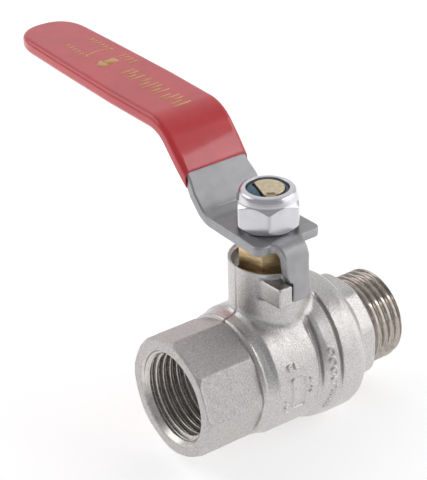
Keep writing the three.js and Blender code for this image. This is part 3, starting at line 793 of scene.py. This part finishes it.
U_TIP = along(LEVER_TIP - 0.01)
bent_piece("lever_plate", lever_flat, (U_START, -9.2, -HALF_STEEL), (U_TIP, 9.2, HALF_STEEL), 0.2,
           "lever_steel", STEEL, "lever")
bent_piece("vinyl_sleeve", sleeve_flat, (15, -9, -1.75), (U_TIP, 9, 1.75), 0.2, "red_vinyl", VINYL,
           "grip_sleeve")

# ---------- printed marks on the grip ----------
INK_LOW, INK_HIGH = 1.66, 1.745     # above the middle of the plate
ink_points, ink_quads = [], []


def ink_strip(left, right):
    """A raised strip of ink between two lines of (x, y) points."""
    base = len(ink_points)
    n = len(left)
    for (xl, yl), (xr, yr) in zip(left, right):
        for x, y, t in ((xl, yl, INK_LOW), (xr, yr, INK_LOW), (xr, yr, INK_HIGH), (xl, yl, INK_HIGH)):
            ink_points.append((along(y), x, t))
    for i in range(n - 1):
        a, b = base + 4 * i, base + 4 * (i + 1)
        for j in range(4):
            k = (j + 1) % 4
            ink_quads.append((a + j, a + k, b + k, b + j))
    ink_quads.append((base + 3, base + 2, base + 1, base))
    last = base + 4 * (n - 1)
    ink_quads.append((last, last + 1, last + 2, last + 3))


def ink_bar(x0, x1, y, thick, lean=0.0):
    ink_strip([(x0, y), (x1, y + lean)], [(x0, y + thick), (x1, y + thick + lean)])


# three groups of plain strokes along the grip
STROKES = ((-1.9, 2.7), (-1.9, 1.2), (-0.2, 2.7))
STROKE_GAP, GROUP_GAP = 1.42, 0.9
THIN = 0.4
stroke_y = 30.0
for group in (5, 6, 4):
    for i in range(group):
        ink_bar(*STROKES[i % 3], stroke_y, 0.5, 0.25)
        stroke_y += STROKE_GAP
    stroke_y += GROUP_GAP
# short bars beside the arc and the arrow
for i in range(5):
    ink_bar(-3.0, -1.4, 66.8 + 1.5 * i, THIN)
    ink_bar(3.3, 5.3, 66.8 + 1.4 * i, THIN)
for i in range(4):
    ink_bar(3.2, 6.0, 55.6 + 1.5 * i, THIN)
# an arc with a head at each end, and an arrow with its shaft
arc = [(-1.7 + 6.3 * t, 64.9 + 3.2 * t * (1 - t)) for t in np.linspace(0, 1, 9)]
ink_strip(arc, [(x, y + THIN) for x, y in arc])
ink_strip([(-2.4, 64.9), (-1.5, 64.3)], [(-2.4, 65.1), (-1.5, 66.1)])
ink_strip([(4.5, 64.3), (5.4, 64.9)], [(4.5, 66.1), (5.4, 65.1)])
ink_strip([(-3.2, 58.9), (-0.9, 57.0)], [(-3.2, 59.3), (-0.9, 61.2)])
ink_strip([(-0.7, 58.0), (2.5, 58.0)], [(-0.7, 60.4), (2.5, 60.4)])
mesh_object("grip_marks", bent(np.array(ink_points)), np.array(ink_quads), "lever_assembly", "red_vinyl",
            GOLD_INK)

# ---------- finishes of the inner CAD pieces ----------
INNER_FINISHES = [("seat_ring_inlet", PTFE), ("seat_ring_outlet", PTFE), ("joint_seal", PTFE),
                  ("thrust_washer", PTFE), ("packing_ring_lower", PTFE), ("packing_ring_upper", PTFE),
                  ("stem_o_ring", RUBBER)]
for node_name, finish in INNER_FINISHES:
    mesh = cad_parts[node_name].data
    mesh.materials.clear()
    mesh.materials.append(finish)

# ---------- floor, light, camera ----------
FLOOR_Z = -16.4 * MM
FLOOR_HALF = 2.0
FLOOR_GREY = (0.88, 0.88, 0.88, 1)
FLOOR_ROUGHNESS, FLOOR_SPECULAR = 0.9, 0.1
FLOOR_FRONT = (-0.589, -0.808, 0)
GLOW_NEAR, GLOW_FAR = 10 * MM, 110 * MM
GLOW_HIGH, GLOW_LOW = 0.46, 0.06


def floor_mesh():
    mesh = bpy.data.meshes.new("floor")
    h = FLOOR_HALF
    mesh.from_pydata([(-h, -h, FLOOR_Z), (h, -h, FLOOR_Z), (h, h, FLOOR_Z), (-h, h, FLOOR_Z)], [],
                     [(0, 1, 2, 3)])
    return mesh


floor = bpy.data.objects.new("floor", floor_mesh())
bpy.context.scene.collection.objects.link(floor)
floor_mat, floor_tree, floor_shader = node_material("floor")
floor_shader.inputs["Base Color"].default_value = FLOOR_GREY
floor_shader.inputs["Roughness"].default_value = FLOOR_ROUGHNESS
floor_shader.inputs["Specular IOR Level"].default_value = FLOOR_SPECULAR
floor_shader.inputs["Emission Color"].default_value = (1, 1, 1, 1)
# the glow that keeps the floor white fades out softly towards the front
floor_place = add(floor_tree, "ShaderNodeTexCoord").outputs["Object"]
in_front = add(floor_tree, "ShaderNodeVectorMath", {0: floor_place, 1: FLOOR_FRONT}, operation="DOT_PRODUCT")
glow_limits = {"Value": in_front.outputs["Value"], "From Min": GLOW_NEAR, "From Max": GLOW_FAR,
               "To Min": GLOW_HIGH, "To Max": GLOW_LOW}
glow = add(floor_tree, "ShaderNodeMapRange", glow_limits, interpolation_type="SMOOTHSTEP")
floor_tree.links.new(glow.outputs["Result"], floor_shader.inputs["Emission Strength"])
floor.data.materials.append(floor_mat)

AIM = Vector((0.005, 0.022, 0.018))     # about the middle of the valve, in metres


def softbox(name, direction, distance, width, height, power, colour=(1, 1, 1)):
    """An area light that looks at the object from a direction."""
    light = bpy.data.lights.new(name, "AREA")
    light.shape = "RECTANGLE"
    light.size, light.size_y = width, height
    light.energy = power
    light.color = colour
    lamp = bpy.data.objects.new(name, light)
    lamp.location = AIM + Vector(direction).normalized() * distance
    lamp.rotation_euler = (AIM - lamp.location).to_track_quat("-Z", "Y").to_euler()
    bpy.context.scene.collection.objects.link(lamp)
    return lamp


def toward(azimuth, elevation):
    """A direction from degrees about +Z and degrees above level."""
    a, e = math.radians(azimuth), math.radians(elevation)
    return (math.cos(a) * math.cos(e), math.sin(a) * math.cos(e), math.sin(e))


softbox("right", toward(-38, 20), 0.9, 1.04, 0.70, 2.3, (1.0, 0.985, 0.975))
softbox("strip", toward(-43, 41.5), 0.97, 0.5, 0.09, 0.49)
softbox("left", toward(130, 34), 0.9, 0.65, 0.65, 1.6)

# the room is grey, and brighter towards one side
ROOM_BRIGHT = toward(54, 30)
ROOM_STOPS = [(0.0, (0.34, 0.34, 0.35)), (0.62, (0.35, 0.35, 0.36)), (0.80, (0.54, 0.54, 0.54)),
              (0.88, (0.66, 0.66, 0.66)), (1.0, (0.80, 0.80, 0.80))]
world = bpy.data.worlds.new("studio")
bpy.context.scene.world = world
world.use_nodes = True
sky = world.node_tree
background = sky.nodes["Background"]
direction = add(sky, "ShaderNodeTexCoord").outputs["Generated"]
facing = add(sky, "ShaderNodeVectorMath", {0: direction, 1: ROOM_BRIGHT}, operation="DOT_PRODUCT")
shade_limits = {"Value": facing.outputs["Value"], "From Min": -1.0, "From Max": 1.0}
shade = add(sky, "ShaderNodeMapRange", shade_limits).outputs["Result"]
sky.links.new(colour_ramp(sky, shade, ROOM_STOPS), background.inputs["Color"])
background.inputs["Strength"].default_value = 1.0

CAMERA_PLACE = Vector((-202.376, -258.239, 208.386)) * MM
SENSOR_WIDTH, LENS, CLIP_START = 36, 131.78, 0.01
YAW, PITCH_DOWN, ROLL = math.radians(53.944), math.radians(28.617), math.radians(-1.555)
forward = Vector((math.cos(YAW) * math.cos(PITCH_DOWN), math.sin(YAW) * math.cos(PITCH_DOWN),
                  -math.sin(PITCH_DOWN)))
level = Vector((math.sin(YAW), -math.cos(YAW), 0))
upward = level.cross(forward)
right = level * math.cos(ROLL) + upward * math.sin(ROLL)
upright = upward * math.cos(ROLL) - level * math.sin(ROLL)
turn = Matrix((right, upright, -forward)).transposed().to_4x4()
camera = bpy.data.objects.new("camera", bpy.data.cameras.new("camera"))
camera.data.sensor_width = SENSOR_WIDTH
camera.data.lens = LENS
camera.data.clip_start = CLIP_START
camera.matrix_world = Matrix.Translation(CAMERA_PLACE) @ turn
bpy.context.scene.collection.objects.link(camera)
bpy.context.scene.camera = camera
bpy.context.scene.view_settings.view_transform = "Standard"
